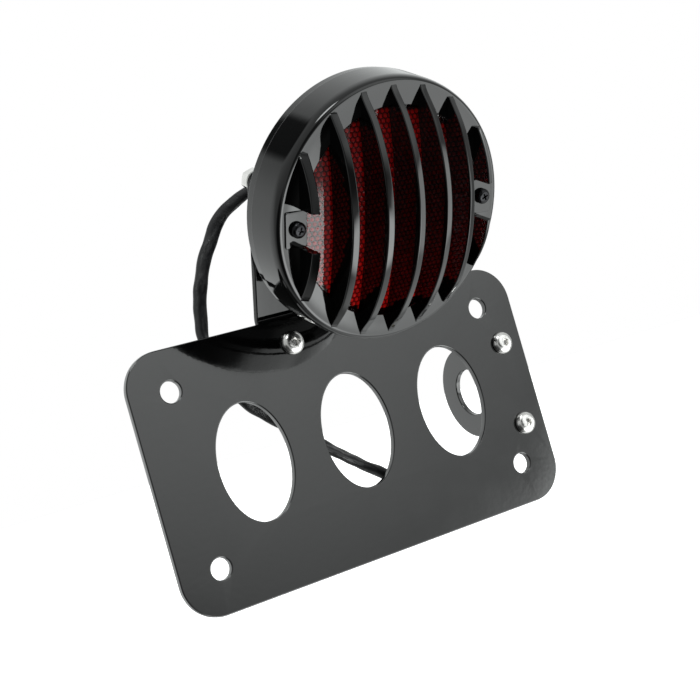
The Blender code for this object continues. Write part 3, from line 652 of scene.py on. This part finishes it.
# ---------------------------------------------------------------- lamp
COVER_R, COVER_R_BACK, SEAM_W = 48.6, 49.25, -15.6
FACE_W, FACE_R0 = 0.8, 46.0                # height and radius where the fins begin
SHOULDER_W, CREST_R, CREST_W = 0.6, 44.0, 0.3
LIP_R, LIP_W, THROAT_R, UNDER_W, SKIRT_R = 38.5, 0.75, 39.2, -6.1, 46.6
FIN_PITCH, FIN_T, FIN_EDGE, FIN_EASE = 12.63, 2.7, 0.5, 9.0
DOME_H, DOME_RV, DOME_RU = 19.3, 65.1, 78.3
CUT_HALF, SCREW_U, TAB_IN, TAB_OUT, TAB_HALF, TAB_W = 6.9, 40.5, 36.3, 45.2, 6.6, 1.0
LENS_TOP, LENS_RD, LENS_R, LENS_T = 3.4, 152.0, 38.7, 2.4
LENS_RIM_R, LENS_RIM_W, LENS_RIM_T = 46.2, -6.4, 2.5


def lens_w(r):
    return LENS_TOP - r * r / (2 * LENS_RD)


def fin_top(u, v):
    """Height of the fins' front edges: a dome that eases into the ring."""
    dome = DOME_H - u * u / (2 * DOME_RU) - (DOME_RV - math.sqrt(DOME_RV ** 2 - v * v))
    room = min(1.0, max(0.0, FACE_R0 + 0.3 - math.hypot(u, v)) / FIN_EASE)
    ramp = math.sqrt(room * (2 - room))
    return FACE_W - 0.25 + (dome - FACE_W) * (ramp if dome > FACE_W else 1.0)


def fin(bm, u0, v0, v1, stations):
    """One upright fin between two ends, with rounded front edges."""
    lo, hi = u0 - FIN_T / 2, u0 + FIN_T / 2
    near = max(0.0, abs(u0) - FIN_T / 2)
    rings = []
    for i in range(stations + 1):
        v = v0 + (v1 - v0) * (1 - math.cos(math.pi * i / stations)) / 2
        r = math.hypot(near, v)
        foot = lens_w(r) + 0.5 if r < LENS_R + 0.45 else UNDER_W + 1.6
        section = [(lo, foot)]
        for corner, turn in ((lo + FIN_EDGE, math.pi), (hi - FIN_EDGE, math.pi / 2)):
            for k in range(4):
                a = turn - math.pi / 2 * k / 3
                section.append((corner + FIN_EDGE * math.cos(a),
                                max(foot + 0.3, fin_top(corner, v) - FIN_EDGE * (1 - math.sin(a)))))
        section.append((hi, foot))
        rings.append([bm.verts.new((x, v, w)) for x, w in section])
    band(bm, rings)
    bm.faces.new(rings[0])
    bm.faces.new(rings[-1][::-1])


def finned_cover():
    bm = lathe(soften([
        (COVER_R_BACK, SEAM_W, 0.4), (COVER_R, SHOULDER_W, 4.5), (CREST_R, CREST_W, 3.0),
        (LIP_R, LIP_W, 0.25), (LIP_R + 0.2, lens_w(LIP_R) + 0.1, 0), (THROAT_R, lens_w(LIP_R) + 0.1, 0),
        (THROAT_R, UNDER_W, 0), (SKIRT_R, UNDER_W, 0), (SKIRT_R, SEAM_W, 0.3)], 8), 200)
    for k in range(-3, 4):
        u0 = k * FIN_PITCH
        end = math.sqrt((FACE_R0 + 0.2) ** 2 - u0 * u0)
        for v0, v1 in ([(-end, end)] if abs(k) < 3 else [(-end, -CUT_HALF), (CUT_HALF, end)]):
            fin(bm, u0, v0, v1, 72 if abs(k) < 3 else 40)
    for s in (-1, 1):
        tab = rounded(TAB_OUT - TAB_IN, 2 * TAB_HALF, 0.9, s * (TAB_IN + TAB_OUT) / 2, 0, 6)
        slab(tab, [], -0.2, TAB_W, 0.35, 3, bm)
    put("finned_cover_cast", bm, COVER, CAST, "black_cast", "finned_cover")
    pan = [(2.65, 0.0), (2.9, 0.3), (2.9, 0.7), (2.75, 1.25), (2.35, 1.7), (1.85, 1.95), (1.6, 2.0)]
    for side, s in (("left", -1), ("right", 1)):
        put(f"cover_screw_{side}_black", screw(pan, 17.3, 1.5, -3.0, cross(1.35, 0.34), 1.1),
            at(COVER, s * SCREW_U, 0, TAB_W + GAP, 0.4 * s), BLACK_SCREW, "black_cast", f"cover_screw_{side}")


def lens():
    under = LENS_RIM_W - LENS_RIM_T
    inner = LENS_R - LENS_T
    steps = 24
    crown = [(LENS_R * i / steps, lens_w(LENS_R * i / steps), 0) for i in range(steps)]
    inside = [(inner * i / 8, lens_w(inner * i / 8) - LENS_T, 0) for i in range(7, -1, -1)]
    edge = [(LENS_R, lens_w(LENS_R), 0.9), (LENS_R, LENS_RIM_W, 0), (LENS_RIM_R, LENS_RIM_W, 0),
            (LENS_RIM_R, under, 0), (inner, under, 0), (inner, lens_w(inner) - LENS_T - 0.4, 0)]
    bm = lathe(soften(crown + edge + inside), 160)
    put("lens_skin", bm, COVER, CLEAR_RED, "red_lens", "lens", flat_wins=False)


PRISM_PITCH, PRISM_H, PRISM_DEPTH = 2.0, 0.85, 0.75


def lens_prisms():
    """Rows of small six-sided domes just under the lens's skin."""
    bm = bmesh.new()
    # crown: how high up its dome each point lies; red_prisms paints shade at the feet and a glow on the
    # crowns from it
    crown = bm.verts.layers.float.new("crown")
    corners = {}

    def vert(x, y, lift):
        key = (round(x, 2), round(y, 2))
        if key not in corners:
            corners[key] = bm.verts.new((x, y, lens_w(math.hypot(x, y)) - PRISM_DEPTH - PRISM_H + lift))
            corners[key][crown] = lift / PRISM_H
        return corners[key]

    side = PRISM_PITCH / math.sqrt(3)
    reach = int(LENS_R / PRISM_PITCH) + 2
    for row in range(-reach - 3, reach + 4):
        for column in range(-reach, reach + 1):
            x = PRISM_PITCH * (column + (0.5 if row % 2 else 0.0))
            y = PRISM_PITCH * math.sqrt(3) / 2 * row
            if math.hypot(x, y) > LENS_R - 1.9:
                continue
            spokes = [math.pi / 6 + math.pi / 3 * i for i in range(6)]
            outer, inner = ([vert(x + r * math.cos(a), y + r * math.sin(a), rise) for a in spokes]
                            for r, rise in ((side, 0.0), (0.55 * side, PRISM_H * 0.78)))
            top = vert(x, y, PRISM_H)
            for i in range(6):
                j = (i + 1) % 6
                bm.faces.new((outer[i], outer[j], inner[j], inner[i]))
                bm.faces.new((inner[i], inner[j], top))
    rim = [e for e in bm.edges if e.is_boundary]
    skirt = bmesh.ops.extrude_edge_only(bm, edges=rim)["geom"]
    for v in skirt:
        if isinstance(v, bmesh.types.BMVert):
            v.co.z = -3.0
    bmesh.ops.holes_fill(bm, edges=[e for e in skirt if isinstance(e, bmesh.types.BMEdge) and e.is_boundary])
    put("lens_prisms", bm, COVER, PRISMS, "red_lens", flat_wins=False)


HOUSE_R, HOUSE_W0, HOUSE_W1, FLOOR_W = 48.8, -15.9, -19.65, -46.5


def lamp_housing():
    bm = lathe(soften([
        (HOUSE_R, HOUSE_W1, 0.6), (HOUSE_R, HOUSE_W0, 0.3), (46.0, HOUSE_W0, 0), (46.0, -10.6, 0),
        (42.4, -10.6, 0), (42.4, -20.0, 6), (39.2, -29.0, 6), (32.8, -38.5, 6), (26.2, -45.4, 3),
        (24.5, FLOOR_W, 1), (4.8, FLOOR_W, 0), (4.8, HOUSE_BACK, 0), (26.4, HOUSE_BACK, 0.6),
        (27.8, -50.0, 1.2), (35.0, -40.0, 7), (41.6, -29.8, 7), (45.0, HOUSE_W1, 0.8)], 7), 160)
    put("lamp_housing_cast", bm, LAMP, CAST, "black_cast", "lamp_housing")


# ---------------------------------------------------------------- lead
SLEEVE_D, LEAD_D = 4.6, 1.7
PLUG_X, LEAD_Y = 40.4, 12.0
# name, place inside the sleeve's end (across, back), height of its plug
LEADS = [("red", 0.0, 1.0, -27.5), ("white", 0.9, -0.6, -33.5), ("black", -0.9, -0.6, -39.5)]
ROUTE = [PLATE.inverted() @ LAMP @ Vector((0, 0, w)) for w in (-48.0, -53.0, -58.0)] + [
    (-2.6, -8.8, 103.6), (-9.4, -4.6, 104.9), (-16.4, -2.6, 103.4), (-23.5, 3.0, 99.9),
    (-28.2, 7.0, 96.9), (-31.8, 9.5, 92.7), (-35.5, 11.0, 86.7), (-38.9, 12.0, 81.2),
    (-43.8, 13.0, 70.1), (-47.3, 13.0, 57.9), (-48.0, 13.0, 46.0), (-44.5, 12.8, 33.5),
    (-37.3, 12.5, 22.0), (-28.1, 12.5, 13.2), (-19.0, 12.5, 5.2), (-8.7, 12.5, -3.9),
    (3.7, 12.5, -13.7), (14.6, 12.5, -22.0)]


def sleeve_surface(rng):
    """Distance from the centreline of a limp sleeve that is pressed flat here and there and twisted."""
    waves = [(rng.uniform(5, 40), rng.uniform(0, 6.28), rng.choice((1, 2, 3)), rng.uniform(0.02, 0.09))
             for _ in range(14)]

    def radius(share, angle):
        flat = 0.17 + 0.16 * math.sin(23 * share + 0.6) * math.sin(9 * share)
        flat *= min(1.0, share / 0.08)
        twist = 1.3 + 2.2 * math.sin(5.1 * share)
        r = SLEEVE_D / 2 * (1 + flat * math.cos(2 * (angle - twist)))
        ease = min(1.0, share / 0.05)
        for pace, phase, fold, size in waves:
            r += size * ease * math.sin(pace * share * 6.28 + phase) * math.cos(fold * angle + phase)
        return r
    return radius


def lead():
    path = smooth_route(ROUTE, 0.8)
    points = [PLATE @ p for p in path]
    skin = tube(path, sleeve_surface(random.Random(7)), 28)
    sleeve = put("lead_sleeve_vinyl", skin, PLATE, SLEEVE, "black_vinyl", "lead_sleeve", flat_wins=False)
    tail = Vector(ROUTE[-1])
    run, over = Vector((0.795, 0, -0.607)), Vector((0.607, 0, 0.795))
    plug = soften([(0, 0, 0), (1.5, 0, 0), (1.8, 0.4, 0.2), (1.8, 6.6, 0.3), (1.3, 7.0, 0.2), (1.3, 7.8, 0.2),
                   (2.0, 8.2, 0.3), (2.0, 13.1, 1.2), (1.4, 15.2, 0.5), (0, 15.8, 0)], 3)
    for name, a, b, z in LEADS:
        side = over * a + Vector((0, b, 0))
        route = [tail + side - run * 2.5, tail + side + run * 0.4, tail + side * 1.5 + run * 5,
                 (27.0, tail.y + b, z + 1.6), (33.5, LEAD_Y, z), (PLUG_X + 0.3, LEAD_Y, z)]
        wire = tube(smooth_route(route, 0.8), lambda share, angle: LEAD_D / 2, 16)
        put(f"lead_{name}_wire", wire, PLATE, WIRES[name], f"wire_{name}", f"lead_{name}")
        axes = PLATE @ Matrix.Translation((PLUG_X, LEAD_Y, z)) @ Matrix.Rotation(math.pi / 2, 4, 'Y')
        put(f"plug_{name}_tinned", lathe(plug, 32), axes, TIN, "tinned_brass", f"plug_{name}")
    length = sum((b - a).length for a, b in zip(points, points[1:]))
    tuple(points[0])
    grommet = soften([(2.6, -57.4, 0.3), (6.2, -57.4, 0.6), (6.8, -56.8, 0.5), (6.8, -54.9, 0.4),
                      (4.4, -54.9, 0), (4.4, -46.1, 0), (2.6, -46.1, 0)], 4)
    put("cable_grommet_rubber", lathe(grommet, 64), LAMP, RUBBER, "rubber", "cable_grommet")


# ---------------------------------------------------------------- pieces that keep their CAD shape
def dress(names, material):
    for name in names:
        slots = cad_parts[name].data.materials
        slots.clear()
        slots.append(material)


def inner_pieces():
    dress(["led_board"], BOARD)
    dress([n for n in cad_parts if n.startswith("led_") and n != "led_board"], LED)
    dress(["driver_chip", "resistor_left", "resistor_right"], CHIP)
    dress([f"board_screw_{i}" for i in (1, 2, 3)], ZINC)
    dress(["lens_gasket"], RUBBER)
    for colour, material in WIRES.items():
        dress([f"board_lead_{colour}"], material)


# ---------------------------------------------------------------- floor and light
FLOOR_DROP, FLOOR_HALF = 0.16, 6.0         # metres
ROOM_LIGHT = 0.5
# what the gloss surfaces see: direction, half-angles of the full and outer edge in degrees, brightness;
# each panel lies over the ones before it
PANELS = [((0.0, 0.0, 1.0), 40, 80, 0.6),          # ceiling
          ((0.51, 0.51, 0.69), 20, 45, 0.85),      # top of the cover's side
          ((-0.10, -0.99, 0.05), 20, 36, 0.1),     # dark camera side
          ((-0.77, -0.28, -0.57), 22, 40, 0.05),   # black flag at the lower left
          ((0.63, 0.76, -0.10), 12, 28, 0.05),     # black flag at the back right
          ((-0.51, 0.86, 0.02), 20, 42, 0.95),     # left side of the cover
          ((-0.38, 0.45, 0.81), 9, 15, 0.05),      # black flag at the upper left
          ((0.48, -0.06, -0.88), 18, 32, 1.5),     # sheen on the fins' lower halves
          ((0.75, -0.60, -0.26), 12, 18, 2.4),     # sheen on the right fins' upper halves
          ((0.66, -0.58, -0.48), 18, 27, 3.0),     # sheen on the fins
          ((0.20, -0.60, -0.78), 11, 22, 6.0),     # stripe on the lens
          ((0.36, -0.87, 0.34), 8, 34, 1.45),      # sheen on the plate
          ((-0.25, -0.55, 0.80), 7, 12, 10.0)]     # small lamp: sparks on edges and bolt heads


def studio():
    """White backdrop and floor for the camera; soft panels for everything that reflects."""
    world = bpy.data.worlds.new("studio")
    bpy.context.scene.world = world
    world.use_nodes = True
    tree = world.node_tree
    tree.nodes.clear()
    new, link = tree.nodes.new, tree.links.new
    direction = new("ShaderNodeTexCoord").outputs["Generated"]
    level = None
    for towards, full, edge, brightness in PANELS:
        dot = new("ShaderNodeVectorMath")
        dot.operation = 'DOT_PRODUCT'
        dot.inputs[1].default_value = Vector(towards).normalized()
        link(direction, dot.inputs[0])
        mask = new("ShaderNodeMapRange")
        mask.interpolation_type = 'SMOOTHSTEP'
        mask.inputs["From Min"].default_value = math.cos(math.radians(edge))
        mask.inputs["From Max"].default_value = math.cos(math.radians(full))
        link(dot.outputs["Value"], mask.inputs["Value"])
        blend = new("ShaderNodeMix")
        blend.inputs["A"].default_value = ROOM_LIGHT
        blend.inputs["B"].default_value = brightness
        link(mask.outputs["Result"], blend.inputs["Factor"])
        if level is not None:
            link(level, blend.inputs["A"])
        level = blend.outputs["Result"]
    room, backdrop = new("ShaderNodeBackground"), new("ShaderNodeBackground")
    link(level, room.inputs["Strength"])
    room.inputs["Color"].default_value = (0.97, 1.0, 0.995, 1)
    mix, out = new("ShaderNodeMixShader"), new("ShaderNodeOutputWorld")
    backdrop.inputs["Color"].default_value = (1, 1, 1, 1)
    link(new("ShaderNodeLightPath").outputs["Is Camera Ray"], mix.inputs["Fac"])
    link(room.outputs[0], mix.inputs[1])
    link(backdrop.outputs[0], mix.inputs[2])
    link(mix.outputs[0], out.inputs["Surface"])

    s = Shader("pale_floor", roughness=0.9)
    s.link(s.ramp(s.noise(3.0, 2.0), [(0.3, (0.93, 0.93, 0.92)), (0.7, (0.95, 0.95, 0.95))]), "Base Color")
    s.bsdf.inputs["Emission Color"].default_value = (1, 1, 1, 1)
    s.bsdf.inputs["Emission Strength"].default_value = 0.8
    bm = bmesh.new()
    bmesh.ops.create_grid(bm, x_segments=8, y_segments=8, size=FLOOR_HALF)
    mesh = bpy.data.meshes.new("floor")
    bm.to_mesh(mesh)
    bm.free()
    mesh.materials.append(s.material)
    floor = bpy.data.objects.new("floor", mesh)
    floor.location.z = CAD_BOX[0][2] - FLOOR_DROP
    floor.visible_glossy = floor.visible_diffuse = False
    bpy.context.collection.objects.link(floor)


plate_carrier()
lamp_bracket()
side_arm()
plate_fasteners()
lamp_studs()
finned_cover()
lens()
lens_prisms()
lamp_housing()
lead()
inner_pieces()
studio()

bpy.context.view_layer.update()
